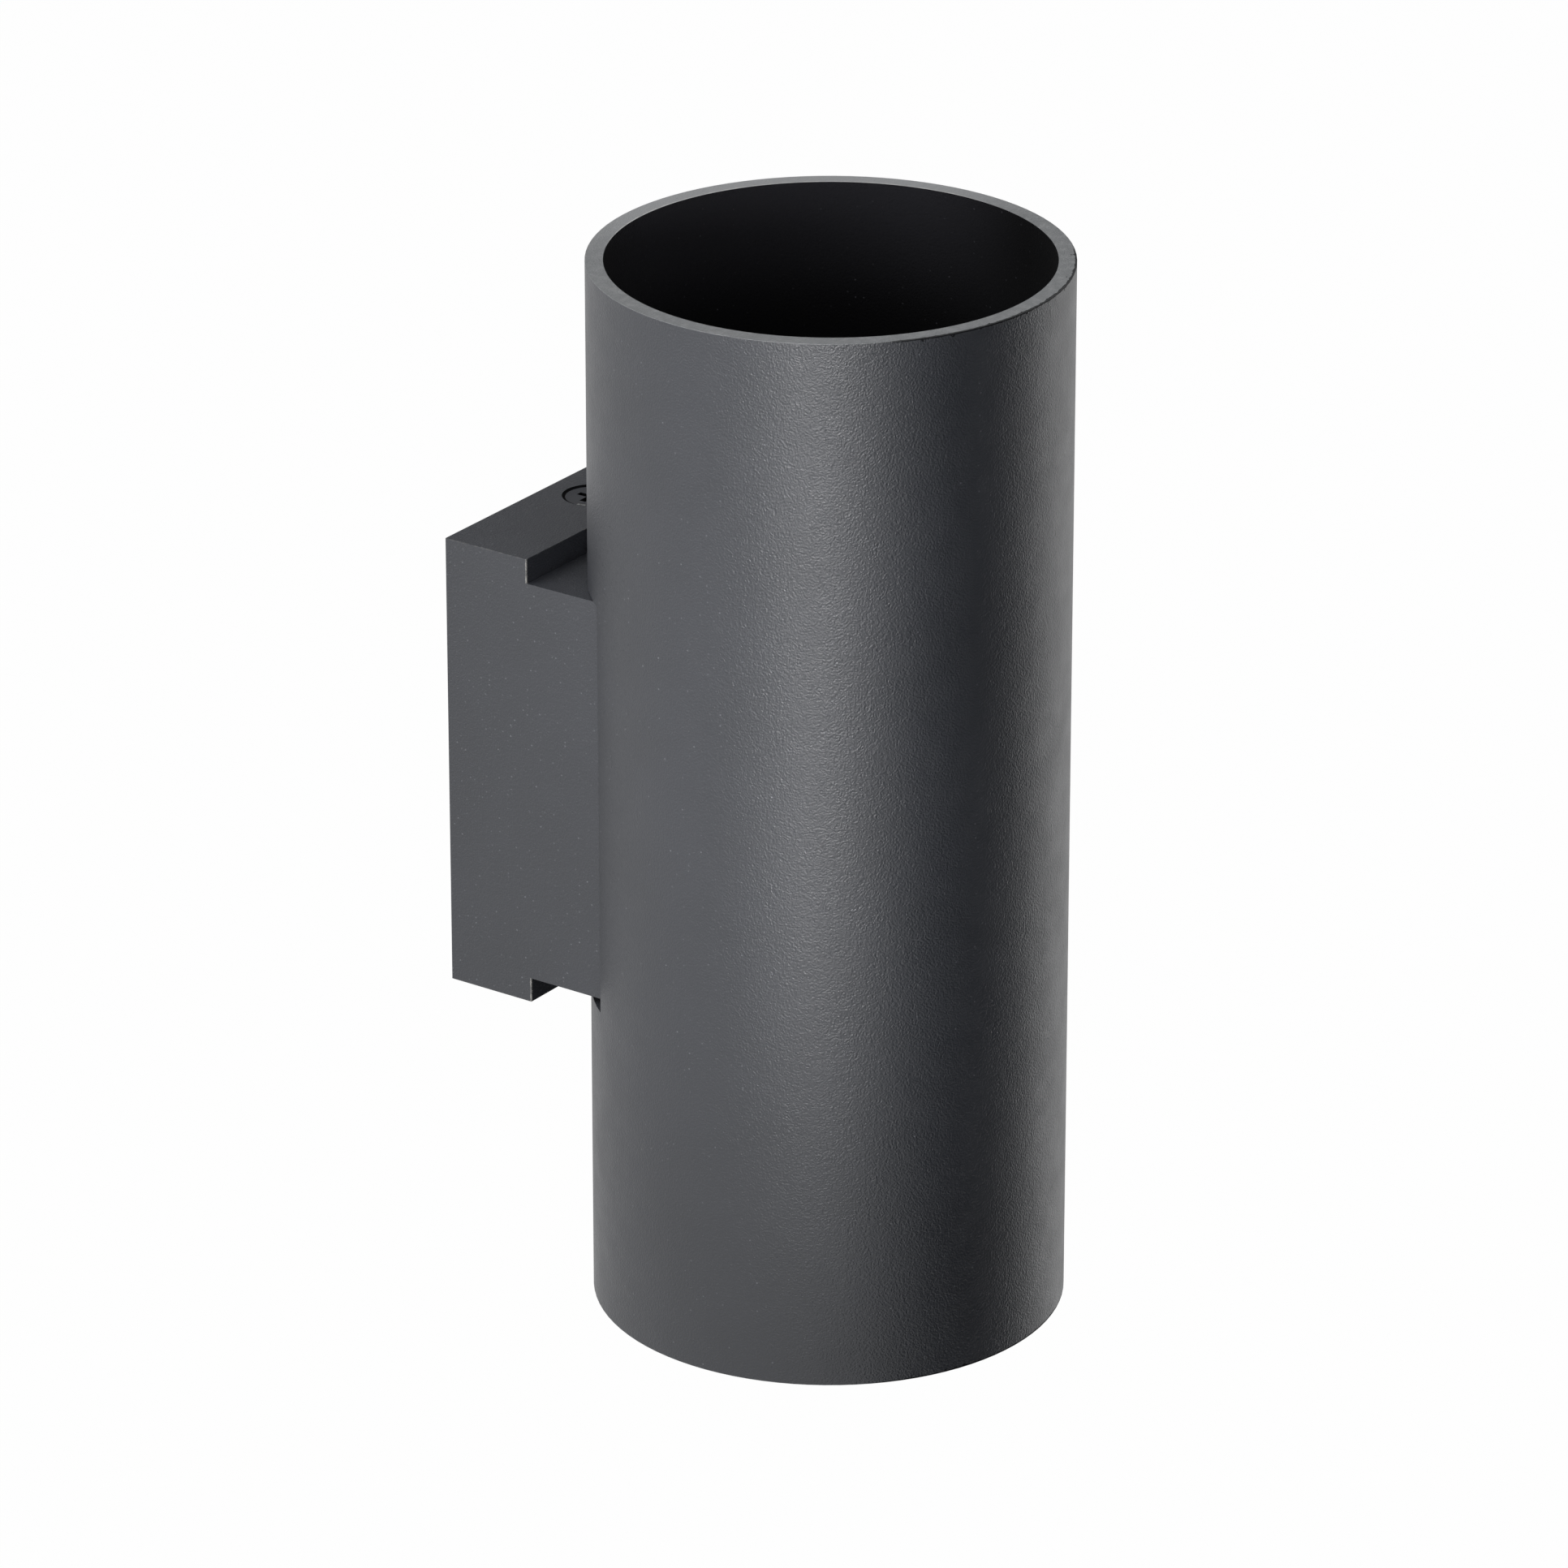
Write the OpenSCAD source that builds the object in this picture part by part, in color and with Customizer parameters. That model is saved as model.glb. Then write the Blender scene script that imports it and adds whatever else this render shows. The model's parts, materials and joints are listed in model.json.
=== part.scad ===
// Tube wall light: an open tube that shines up and down, carried by a stepped block on the wall.
// Millimetres. The origin is the middle of the wall face, +Z is up, and the light stands out along -Y.

/* [Tube] */
// Outside diameter of the tube
tube_dia = 65; // [61:1:80]
// Length of the tube
tube_length = 150; // [146:1:220]
// Wall thickness of the tube
tube_wall = 2.5; // [1.5:0.1:3]
// Gap between the window in the tube and each side of the block
window_side_gap = 1.7; // [0.5:0.1:2.5]
// Gap between the window and the top of the block
window_top_gap = 0.2; // [0.1:0.1:1]
// Gap between the window and the bottom of the block
window_bottom_gap = 1.1; // [0.1:0.1:2]

/* [Mounting block] */
// Width of the block
block_width = 48; // [46:1:52]
// Height of the block at the wall
block_height = 65; // [64:1:80]
// Depth of the block from the wall to the tube
block_depth = 13.5; // [13.5:0.5:20]
// Height of the step at the top and at the bottom
block_step = 3.5; // [2.5:0.1:5]
// Wall thickness of the block
block_wall = 3; // [2.5:0.1:3.2]

/* [Wall plate] */
// Thickness of the wall plate
plate_thick = 2; // [1.5:0.1:2.5]
// Gap between the plate and the inside of the block
plate_gap = 0.5; // [0.2:0.1:1]
// Distance between the wall screws across
wall_hole_pitch_x = 28; // [26:1:30]
// Distance between the wall screws upright
wall_hole_pitch_z = 40; // [38:1:44]
// Diameter of the holes for the wall screws
wall_hole_dia = 4.5; // [4:0.1:5.5]
// Gap between the terminal block and the dimple round the cable hole
cable_gap = 0.5; // [0.3:0.1:1.5]
// Diameter of the cable that the grommet takes
cable_dia = 7; // [6:0.5:8]

/* [Clamp strip and shelf] */
// Width of the clamp strip and of the shelf's flange
strip_width = 16; // [14:1:20]
// Length of the clamp strip
strip_length = 74; // [70:1:80]
// Sheet thickness of the strip and the shelf
sheet_thick = 1.5; // [1:0.1:2]
// Distance of the strip's two screws from the middle
strip_screw_rise = 20; // [19:0.5:22]
// Height of the lead hole above the middle
lead_hole_rise = 10; // [9:0.5:11]
// Inside diameter of the bush in the lead hole
bush_bore = 6; // [5.6:0.1:6.2]

/* [Lampholders] */
// Length of a lampholder across the tube
holder_length = 35; // [35:0.5:38]
// Width of a lampholder
holder_width = 18; // [18:0.5:20]
// Height of a lampholder
holder_height = 12; // [11:0.5:14]
// Distance between a lampholder's two fixing screws
holder_screw_pitch = 26; // [25.5:0.5:26.5]
// Thickness of the insulating cover under a lampholder
cover_thick = 0.8; // [0.5:0.1:1.5]

/* [Lamps] */
// Gap between a lamp's face and the bore of the tube
lamp_gap = 5; // [4.5:0.5:7.5]
// Length of a lamp from its base to its face
lamp_length = 40; // [38:1:46]
// Distance between a lamp's two pins
pin_pitch = 10; // [9.8:0.1:10.2]
// Turn that frees a lamp from its holder, in degrees
lamp_twist = 25; // [20:1:30]

/* [Terminal block] */
// Distance between two poles
pole_pitch = 8; // [8:0.1:8.2]
// Length of the terminal block along the wires
terminal_length = 15; // [14:0.5:15]
// Height of the terminal block's screw towers above the plate
terminal_height = 10; // [9:0.5:10]

/* [Hidden] */
// Rounding of cylinders
$fn = 64;
// Overrun of a cut past the face that it opens
over = 1;
// Gap between pieces that rest against each other
seat_gap = 0.3;
// Play of a screw in its thread
thread_gap = 0.05;
// Play of a screw in a plain hole
hole_gap = 0.25;

// Tube and block
bore_r = tube_dia / 2 - tube_wall;
axis_y = -(block_depth + seat_gap + tube_dia / 2);
tongue_height = block_height - 2 * block_step;
inner_width = block_width - 2 * block_wall;
inner_height = block_height - 2 * block_wall;
pocket_r = bore_r + block_wall;
pocket_depth = block_depth - block_wall;
strip_back = sqrt(pow(bore_r - seat_gap, 2) - pow(strip_width / 2, 2));
strip_front = strip_back - sheet_thick;
flange_front = strip_front - sheet_thick;

// M4 countersunk screws
m4_r = 2;
csk_head_r = 3.75;
csk_rim_gap = 0.25;
csk_length = 8;
csk_y = -block_depth / 2;
recess_width = 0.95;
recess_span = 4.2;
recess_depth = 1.5;

// M4 pan screws
pan_head_r = 3.5;
pan_head_height = 2.4;
pan_length = 8;

// Wall plate
plate_width = inner_width - 2 * plate_gap;
plate_height = inner_height - 2 * thread_gap;
plate_corner = 3;
tab_width = 18;
tab_length = pocket_depth - seat_gap;
tab_bend = 1;
dimple_r = 7.5;
dimple_depth = 1.5;
grommet_body_r = 4.7;
grommet_flange_r = 6.2;
grommet_flange = 1.2;
grommet_edge = 0.4;

// Earth stud beside the terminal block
stud_gap = 0.6;
stud_head_r = 3;
stud_head = 1;
stud_length = 9;
nut_m4_across = 7;
nut_m4_height = 3.2;
ring_r = 4;
ring_thick = 0.8;
ring_barrel_r = 1.6;
ring_barrel_length = 4.5;
ring_barrel_gap = 0.4;

// Lead bush
bush_wall = 1;
bush_flange = 1.2;
bush_flange_thick = 1;
bush_r = bush_bore / 2 + bush_wall;

// Shelf
shelf_front = 10;
shelf_margin = 0.5;
shelf_bend = 1;
shelf_shoulder = 12;
// Where the shelf has narrowed to its neck, between its shoulder and its bend
neck_share = 0.55;
shelf_neck = shelf_shoulder + neck_share * (strip_front - sheet_thick - shelf_bend - shelf_shoulder);
flange_length = 27;
lead_gate_r = 3.9;

// Lampholder
m3_r = 1.5;
m3_head_r = 2.75;
m3_head = 2;
m3_nut_across = 5.5;
m3_nut_height = 2.4;
holder_corner = 4;
holder_rim = 0.8;
holder_rim_height = 2;
counterbore_r = 3.3;
counterbore_depth = 3.4;
pin_neck_r = 1.55;
pin_neck_length = 4.3;
pin_head_r = 2.5;
pin_head = 2.8;
pin_edge = 0.5;
neck_gap = 0.25;
head_gap = 0.4;
slot_relief = 0.06;
leaf_thick = 0.5;
leaf_width = 3;
leaf_gap = 0.3;
exit_height = 1.3;
tail_length = 1;
crimp_r = 1.4;
crimp_bore_r = 0.8;
crimp_length = 5;

cover_z = sheet_thick / 2;
holder_z = cover_z + cover_thick;
holder_top = holder_z + holder_height;
lamp_z = holder_top + seat_gap;
face_wall = pin_neck_length - 2 * seat_gap;
chamber_top = holder_top - face_wall;
counterbore_z = holder_top - counterbore_depth;
crimp_z = cover_z + crimp_r + seat_gap;
crimp_end = holder_width / 2 + tail_length + crimp_length;

// Way of the leads through the shelf, between the crimps and the clamp strip
lead_room = strip_front - crimp_end;
gate_share = 0.36;
lower_rise_share = 0.55;
lower_start_share = 0.1;
upper_start_share = 0.25;
upper_rise_share = 0.5;
upper_height_share = 0.62;
lead_gate_y = crimp_end + gate_share * lead_room;

// Lamp
lamp_dia = 2 * (bore_r - lamp_gap);
base_r = 9.5;
base_width = 14;
base_height = 9;
collar_r = 13.5;
bezel_height = 5;
bezel_edge = 1;
lens_margin = 3;
lens_thick = 2;
lens_sink = 0.6;
lens_dome = 1.2;
// Bulge of the lamp's shell: share of the height, then share of the radius between collar and bezel
shell_share = [[0, 0], [0.12, 0.17], [0.26, 0.36], [0.42, 0.55], [0.58, 0.72], [0.75, 0.86], [0.9, 0.95]];
rib_count = 18;
rib_width = 2.2;
rib_cut = 1.6;

// Terminal block
poles = 3;
barrel_r = 3.7;
tower_r = 2.9;
tower_z = 4;
slab_thick = 3;
clamp_r = 2.5;
clamp_bore_r = 1.6;
clamp_length = 12;
clamp_gap = 0.1;
entry_r = 2.2;
clamp_screw_r = 1.25;
clamp_screw_sink = 1.2;
slot_width = 0.6;
slot_depth = 0.8;
fixing_tube_r = 1.8;
fixing_tube_drop = 2;
fixing_screw_r = 1.1;
fixing_head_r = 2;
fixing_head = 1.3;
terminal_width = poles * pole_pitch;
cable_drop = terminal_length / 2 + cable_gap + dimple_r;
barrel_y = -plate_thick - barrel_r;
terminal_front = -plate_thick - terminal_height;
earth_x = terminal_width / 2 + nut_m4_across / sqrt(3) + stud_gap;

// Leads
lead_r = 1;
core_r = 0.4;
core_length = 4;
lead_sides = 8;
lead_steps = 4;
lead_offset = 1.2;
core_offset = 1.1;
lead_arch = 4.2;

// Shared shapes

// Rectangle with round corners, centred
module round_rect(x, y, r) {
    square([x - 2 * r, y], center = true);
    square([x, y - 2 * r], center = true);
    for (i = [-1, 1], j = [-1, 1])
        translate([i * (x / 2 - r), j * (y / 2 - r)]) circle(r);
}

// Bent sheet in section: outer faces on the axes, leg along +Y, foot along +X
module bent_section(leg, foot, t, r) {
    bend = r + t;
    translate([0, bend]) square([t, leg - bend]);
    translate([bend, 0]) square([foot - bend, t]);
    intersection() {
        translate([bend, bend]) difference() {
            circle(bend);
            circle(r);
        }
        square(bend);
    }
}

// Upright plate in the XZ plane whose back lies at y
module upright(y, t) {
    translate([0, y, 0]) rotate([90, 0, 0]) linear_extrude(t) children();
}

// Cylinder along -Y that starts at y
module y_rod(x, y, z, r, h) {
    translate([x, y, z]) rotate([90, 0, 0]) cylinder(r = r, h = h);
}

// Cross recess cut down from z = 0
module cross_recess(span, width, depth) {
    for (a = [0, 90])
        rotate(a) translate([-span / 2, -width / 2, -depth]) cube([span, width, depth + over]);
}

// Countersunk screw, head face at z = 0, pointing down
module countersunk_screw() {
    cone = csk_head_r - m4_r;
    difference() {
        union() {
            translate([0, 0, -cone]) cylinder(r1 = m4_r, r2 = csk_head_r, h = cone);
            translate([0, 0, -csk_length]) cylinder(r = m4_r, h = csk_length);
        }
        cross_recess(recess_span, recess_width, recess_depth);
    }
}

// Pan screw, underside of the head at z = 0, pointing down
module pan_screw(r, length, head_r, head) {
    edge = head / 3;
    difference() {
        union() {
            translate([0, 0, -length]) cylinder(r = r, h = length);
            cylinder(r = head_r, h = head - edge);
            translate([0, 0, head - edge]) cylinder(r1 = head_r, r2 = head_r - edge, h = edge);
        }
        translate([0, 0, head]) cross_recess(head_r, head_r / 4, head / 2);
    }
}

// Hexagon nut standing on z = 0
module hex_nut(across, height, hole_r) {
    difference() {
        cylinder(r = across / sqrt(3), h = height, $fn = 6);
        translate([0, 0, -over]) cylinder(r = hole_r, h = height + 2 * over);
    }
}

// Leads

function unit(v) = v / norm(v);

// Point of a smooth curve between p[i] and p[i + 1], t from 0 to 1
function curve_point(p, i, t) =
    let (last = len(p) - 1, b = p[i], c = p[i + 1],
         a = i > 0 ? p[i - 1] : 2 * b - c, d = i + 1 < last ? p[i + 2] : 2 * c - b)
    0.5 * (2 * b + (c - a) * t + (2 * a - 5 * b + 4 * c - d) * t * t
        + (3 * b - 3 * c + d - a) * t * t * t);

function curve(p) = concat(
    [for (i = [0:len(p) - 2], k = [0:lead_steps - 1]) curve_point(p, i, k / lead_steps)], [p[len(p) - 1]]);

// Directions along the path q, which leaves along out and arrives along home
function heading(q, out, home) = [for (i = [0:len(q) - 1])
    i < 3 ? out : i > len(q) - 4 ? home : unit(q[i + 1] - q[i - 1])];

// Side directions carried along the curve without twist
function carried(t, side) = [for (i = 0, u = unit(cross(t[0], side)); i < len(t);
    i = i + 1, u = i < len(t) ? unit(u - (u * t[i]) * t[i]) : u) u];

// Insulated wire along a curve through p, with a bare core at each end
module lead(p, out, home, side) {
    mid = curve(p);
    last = mid[len(mid) - 1];
    path = concat([mid[0] - out * core_length, mid[0]], mid, [last, last + home * core_length]);
    radii = concat([core_r, core_r], [for (q = mid) lead_r], [core_r, core_r]);
    t = heading(path, out, home);
    u = carried(t, side);
    rings = len(path);
    s = lead_sides;
    points = [for (i = [0:rings - 1], k = [0:s - 1])
        path[i] + radii[i] * (cos(360 * k / s) * u[i] + sin(360 * k / s) * cross(t[i], u[i]))];
    walls = [for (i = [0:rings - 2], k = [0:s - 1])
        [i * s + k, i * s + (k + 1) % s, (i + 1) * s + (k + 1) % s, (i + 1) * s + k]];
    start_cap = [for (k = [0:s - 1]) s - 1 - k];
    end_cap = [for (k = [0:s - 1]) (rings - 1) * s + k];
    polyhedron(points, concat([start_cap], walls, [end_cap]), convexity = 6);
}

// Tube and block

module tube_housing() {
    half = block_width / 2 + window_side_gap;
    low = -tongue_height / 2 - window_bottom_gap;
    color("#3c3d3f") difference() {
        translate([0, axis_y, -tube_length / 2]) cylinder(d = tube_dia, h = tube_length, $fn = 128);
        translate([0, axis_y, -tube_length / 2 - over])
            cylinder(r = bore_r, h = tube_length + 2 * over, $fn = 128);
        translate([-half, axis_y, low])
            cube([2 * half, tube_dia, tongue_height / 2 + window_top_gap - low]);
    }
}

// Plan of the tongue: coped to the bore of the tube, with a flat land for the clamp strip
module tongue_plan() {
    difference() {
        translate([-block_width / 2, axis_y]) square([block_width, csk_y - axis_y]);
        translate([0, axis_y]) circle(bore_r, $fn = 128);
    }
    translate([-strip_width / 2, axis_y + strip_back]) square([strip_width, csk_y - axis_y - strip_back]);
}

module mounting_block() {
    sink = csk_head_r + csk_rim_gap;
    shank = m4_r + hole_gap;
    color("#3c3d3f") difference() {
        union() {
            translate([-block_width / 2, -block_depth, -block_height / 2])
                cube([block_width, block_depth, block_height]);
            translate([0, 0, -tongue_height / 2]) linear_extrude(tongue_height) tongue_plan();
        }
        translate([-inner_width / 2, -pocket_depth, -inner_height / 2])
            cube([inner_width, pocket_depth + over, inner_height]);
        translate([0, 0, -tongue_height / 2 + block_wall])
            linear_extrude(tongue_height - 2 * block_wall) difference() {
                translate([-inner_width / 2, axis_y]) square([inner_width, over - axis_y]);
                translate([0, axis_y]) circle(pocket_r, $fn = 128);
            }
        for (turn = [0, 180]) rotate([0, turn, 0]) translate([0, csk_y, block_height / 2]) {
            translate([0, 0, -block_wall - over]) cylinder(r = shank, h = block_wall + 2 * over);
            translate([0, 0, shank - sink]) cylinder(r1 = shank, r2 = sink, h = sink - shank);
            cylinder(r = sink, h = over);
        }
        for (s = [-1, 1]) y_rod(0, 0, s * strip_screw_rise, m4_r + thread_gap, -axis_y);
        y_rod(0, 0, lead_hole_rise, bush_r + thread_gap, -axis_y);
    }
}

module block_screws() {
    color("#26272a") for (turn = [0, 180])
        rotate([0, turn, 0]) translate([0, csk_y, block_height / 2 - csk_rim_gap + thread_gap])
            countersunk_screw();
}

// Wall plate and earth

module plate_tab() {
    bend = tab_bend + plate_thick;
    rotate([90, 0, 90]) linear_extrude(tab_width, center = true)
        translate([0, plate_height / 2]) rotate(180)
            bent_section(bend + plate_thick, tab_length, plate_thick, tab_bend);
}

module wall_plate() {
    bend = tab_bend + plate_thick;
    color("#b9bcc0") difference() {
        union() {
            upright(0, plate_thick) round_rect(plate_width, plate_height - 2 * bend, plate_corner);
            for (turn = [0, 180]) rotate([0, turn, 0]) plate_tab();
            y_rod(0, 0, -cable_drop, dimple_r, plate_thick + dimple_depth);
        }
        for (turn = [0, 180]) rotate([0, turn, 0]) translate([0, csk_y, inner_height / 2 - 2 * plate_thick])
            cylinder(r = m4_r + thread_gap, h = 2 * plate_thick + over);
        for (i = [-1, 1], j = [-1, 1])
            y_rod(i * wall_hole_pitch_x / 2, over, j * wall_hole_pitch_z / 2, wall_hole_dia / 2,
                plate_thick + 2 * over);
        y_rod(0, over, -cable_drop, grommet_flange_r + thread_gap, dimple_depth + over);
        y_rod(0, over, -cable_drop, grommet_body_r + thread_gap, plate_thick + dimple_depth + 2 * over);
        y_rod(earth_x, over, 0, stud_head_r, stud_head + over);
        y_rod(earth_x, over, 0, m4_r, plate_thick + 2 * over);
        y_rod(pole_pitch / 2, over, 0, fixing_screw_r + thread_gap, plate_thick + 2 * over);
    }
}

module cable_grommet() {
    rear = dimple_depth - grommet_flange;
    total = 2 * grommet_flange + plate_thick;
    color("#1d1d1f") translate([0, -rear, -cable_drop]) rotate([90, 0, 0]) rotate_extrude()
        polygon([[cable_dia / 2, 0], [grommet_flange_r - grommet_edge, 0],
            [grommet_flange_r, grommet_edge], [grommet_flange_r, grommet_flange],
            [grommet_body_r, grommet_flange], [grommet_body_r, total - grommet_flange],
            [grommet_flange_r, total - grommet_flange], [grommet_flange_r, total - grommet_edge],
            [grommet_flange_r - grommet_edge, total], [cable_dia / 2, total]]);
}

module earth_stud() {
    color("#c8b26a") union() {
        y_rod(earth_x, 0, 0, stud_head_r, stud_head);
        y_rod(earth_x, 0, 0, m4_r, stud_length);
    }
}

module earth_ring() {
    barrel_z = ring_r + ring_barrel_gap;
    color("#c9ccd0") difference() {
        union() {
            y_rod(earth_x, -plate_thick, 0, ring_r, ring_thick);
            translate([earth_x - ring_barrel_r, -plate_thick - ring_thick, 0])
                cube([2 * ring_barrel_r, ring_thick, barrel_z + ring_barrel_length]);
            translate([earth_x, -plate_thick - ring_barrel_r, barrel_z])
                cylinder(r = ring_barrel_r, h = ring_barrel_length);
        }
        y_rod(earth_x, 0, 0, m4_r + hole_gap, plate_thick + ring_thick + over);
        translate([earth_x, -plate_thick - ring_barrel_r, barrel_z + ring_barrel_gap])
            cylinder(r = crimp_bore_r, h = ring_barrel_length);
    }
}

module earth_nut() {
    color("#c8b26a") translate([earth_x, -plate_thick - ring_thick, 0]) rotate([90, 0, 0])
        hex_nut(nut_m4_across, nut_m4_height, m4_r + thread_gap);
}

// Clamp strip and shelf

module clamp_strip() {
    color("#b9bcc0") difference() {
        upright(axis_y + strip_back, sheet_thick) round_rect(strip_width, strip_length, strip_width / 5);
        for (s = [-1, 1])
            y_rod(0, 0, s * strip_screw_rise, m4_r + hole_gap, -axis_y);
        y_rod(0, 0, lead_hole_rise, bush_r + thread_gap, -axis_y);
    }
}

module holder_shelf() {
    bend = shelf_bend + sheet_thick;
    half = holder_length / 2 + shelf_margin;
    color("#b9bcc0") translate([0, axis_y, 0]) difference() {
        union() {
            translate([0, 0, -sheet_thick / 2]) linear_extrude(sheet_thick)
                polygon([[-half, -shelf_front], [half, -shelf_front], [half, shelf_shoulder],
                    [strip_width / 2, shelf_neck], [strip_width / 2, strip_front - bend],
                    [-strip_width / 2, strip_front - bend], [-strip_width / 2, shelf_neck],
                    [-half, shelf_shoulder]]);
            rotate([90, 0, 90]) linear_extrude(strip_width, center = true)
                translate([strip_front, sheet_thick / 2]) rotate(180)
                    bent_section(flange_length, 2 * bend, sheet_thick, shelf_bend);
        }
        translate([0, lead_gate_y, -sheet_thick]) cylinder(r = lead_gate_r, h = 2 * sheet_thick);
        for (s = [-1, 1])
            translate([s * holder_screw_pitch / 2, 0, -sheet_thick])
                cylinder(r = m3_r + hole_gap, h = 2 * sheet_thick);
        y_rod(0, bore_r, -strip_screw_rise, m4_r + hole_gap, bore_r);
    }
}

module strip_screws() {
    color("#c9ccd0") {
        translate([0, axis_y + strip_front, strip_screw_rise]) rotate([90, 0, 0])
            pan_screw(m4_r, pan_length, pan_head_r, pan_head_height);
        translate([0, axis_y + flange_front, -strip_screw_rise]) rotate([90, 0, 0])
            pan_screw(m4_r, pan_length, pan_head_r, pan_head_height);
    }
}

module lead_bush() {
    through = pocket_r - strip_front;
    color("#1d1d1f") difference() {
        union() {
            y_rod(0, axis_y + pocket_r, lead_hole_rise, bush_r, through);
            y_rod(0, axis_y + strip_front, lead_hole_rise, bush_r + bush_flange, bush_flange_thick);
        }
        y_rod(0, 0, lead_hole_rise, bush_bore / 2, -axis_y);
    }
}

// Lampholders

// Half of a lampholder pair, turned over for the lower lamp
module lower_side() {
    rotate([0, 180, 0]) children();
}

// Slot that a pin of radius r sweeps from the lock to the release
module twist_sweep(r, h) {
    half = r - slot_relief;
    for (a = [0, lamp_twist])
        rotate(a) translate([pin_pitch / 2, 0, 0]) cylinder(r = r, h = h);
    rotate_extrude(angle = lamp_twist)
        translate([pin_pitch / 2 - half, 0]) square([2 * half, h]);
}

module lampholder() {
    color("#e9e6dc") translate([0, axis_y, 0]) difference() {
        union() {
            translate([0, 0, holder_z]) linear_extrude(holder_height - holder_rim_height)
                round_rect(holder_length, holder_width, holder_corner);
            translate([0, 0, holder_z]) linear_extrude(holder_height)
                round_rect(holder_length - 2 * holder_rim, holder_width - 2 * holder_rim,
                    holder_corner - holder_rim);
        }
        for (turn = [0, 180]) rotate(turn) {
            // keyhole through the face
            translate([0, 0, holder_z]) twist_sweep(pin_neck_r + neck_gap, holder_height + over);
            rotate(lamp_twist) translate([pin_pitch / 2, 0, holder_z])
                cylinder(r = pin_head_r + head_gap, h = holder_height + over);
            // chamber under the face for the pin's head
            translate([0, 0, holder_z - over])
                twist_sweep(pin_head_r + head_gap, chamber_top - holder_z + over);
            // room for the contact's leaf
            translate([pin_pitch / 2 - leaf_width / 2 - leaf_gap, -pin_head_r - 2 * leaf_gap - leaf_thick,
                    holder_z - over])
                cube([leaf_width + 2 * leaf_gap, pin_head_r, chamber_top - holder_z + over]);
        }
        for (s = [-1, 1]) {
            // way out for the contact's foot
            translate([s * pin_pitch / 2 - leaf_width / 2 - leaf_gap, 0, holder_z - over])
                cube([leaf_width + 2 * leaf_gap, holder_width, exit_height + over]);
            translate([s * holder_screw_pitch / 2, 0, 0]) {
                cylinder(r = m3_r + hole_gap, h = holder_top + over);
                translate([0, 0, counterbore_z]) cylinder(r = counterbore_r, h = counterbore_depth + over);
            }
        }
    }
}

module holder_cover() {
    color("#c9b98f") translate([0, axis_y, cover_z]) difference() {
        linear_extrude(cover_thick) round_rect(holder_length, holder_width, holder_corner);
        for (s = [-1, 1])
            translate([s * holder_screw_pitch / 2, 0, -over])
                cylinder(r = m3_r + hole_gap, h = cover_thick + 2 * over);
    }
}

// Spring contact under one pin: foot, leaf beside the pin's head, and crimp barrel behind the holder
module contact(s) {
    leaf_y = s * (pin_head_r + leaf_gap + leaf_thick / 2);
    foot_start = -leaf_y - leaf_thick / 2;
    foot_end = holder_width / 2 + tail_length + crimp_length / 2;
    translate([s * pin_pitch / 2, axis_y, 0]) {
        translate([-leaf_width / 2, foot_start, holder_z])
            cube([leaf_width, foot_end - foot_start, leaf_thick]);
        translate([-leaf_width / 2, foot_start, holder_z])
            cube([leaf_width, leaf_thick, chamber_top - leaf_thick - holder_z]);
        difference() {
            translate([0, crimp_end, crimp_z]) rotate([90, 0, 0]) cylinder(r = crimp_r, h = crimp_length);
            translate([0, crimp_end + over, crimp_z]) rotate([90, 0, 0])
                cylinder(r = crimp_bore_r, h = crimp_length + 2 * over);
        }
    }
}

module contacts() {
    color("#c7a252") {
        contact(1);
        contact(-1);
    }
}

module holder_screws() {
    reach = 2 * counterbore_z + m3_nut_height;
    color("#c9ccd0") for (s = [-1, 1])
        translate([s * holder_screw_pitch / 2, axis_y, counterbore_z])
            pan_screw(m3_r, reach, m3_head_r, m3_head);
}

module holder_nuts() {
    color("#c9ccd0") for (s = [-1, 1])
        translate([s * holder_screw_pitch / 2, axis_y, -counterbore_z - m3_nut_height])
            hex_nut(m3_nut_across, m3_nut_height, m3_r + thread_gap);
}

// Lamps

module lamp_shell() {
    low = base_height;
    high = lamp_length - bezel_height;
    top_r = lamp_dia / 2;
    lens_r = top_r - lens_margin;
    lens_z = lamp_length - lens_thick - lens_sink;
    waist = top_r - bezel_edge - collar_r;
    color("#d9dadb") translate([0, axis_y, lamp_z]) difference() {
        rotate_extrude($fn = 96) polygon(concat(
            [[0, low]],
            [for (p = shell_share) [collar_r + waist * p[1], low + (high - low) * p[0]]],
            [[top_r - bezel_edge, high], [top_r, high + bezel_edge], [top_r, lamp_length - bezel_edge],
                [top_r - bezel_edge, lamp_length], [lens_r, lamp_length], [lens_r, lens_z], [0, lens_z]]));
        for (k = [0:rib_count - 1]) rotate(360 * k / rib_count)
            translate([collar_r, -rib_width / 2, low - over])
                cube([top_r, rib_width, rib_cut + over]);
    }
}

module lamp_lens() {
    lens_r = lamp_dia / 2 - lens_margin;
    low = lamp_length - lens_thick - lens_sink;
    color("#f2efe6") translate([0, axis_y, lamp_z]) rotate_extrude($fn = 96)
        polygon([[0, low], [lens_r, low], [lens_r, low + lens_thick],
            [lens_r * 2 / 3, low + lens_thick + (lens_dome - lens_sink) * 2 / 3],
            [lens_r / 3, low + lens_thick + (lens_dome - lens_sink)],
            [0, low + lens_thick + (lens_dome - lens_sink)]]);
}

module lamp_base() {
    color("#efece3") translate([0, axis_y, lamp_z]) intersection() {
        cylinder(r = base_r, h = base_height);
        translate([-base_r, -base_width / 2, 0]) cube([2 * base_r, base_width, base_height]);
    }
}

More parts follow.
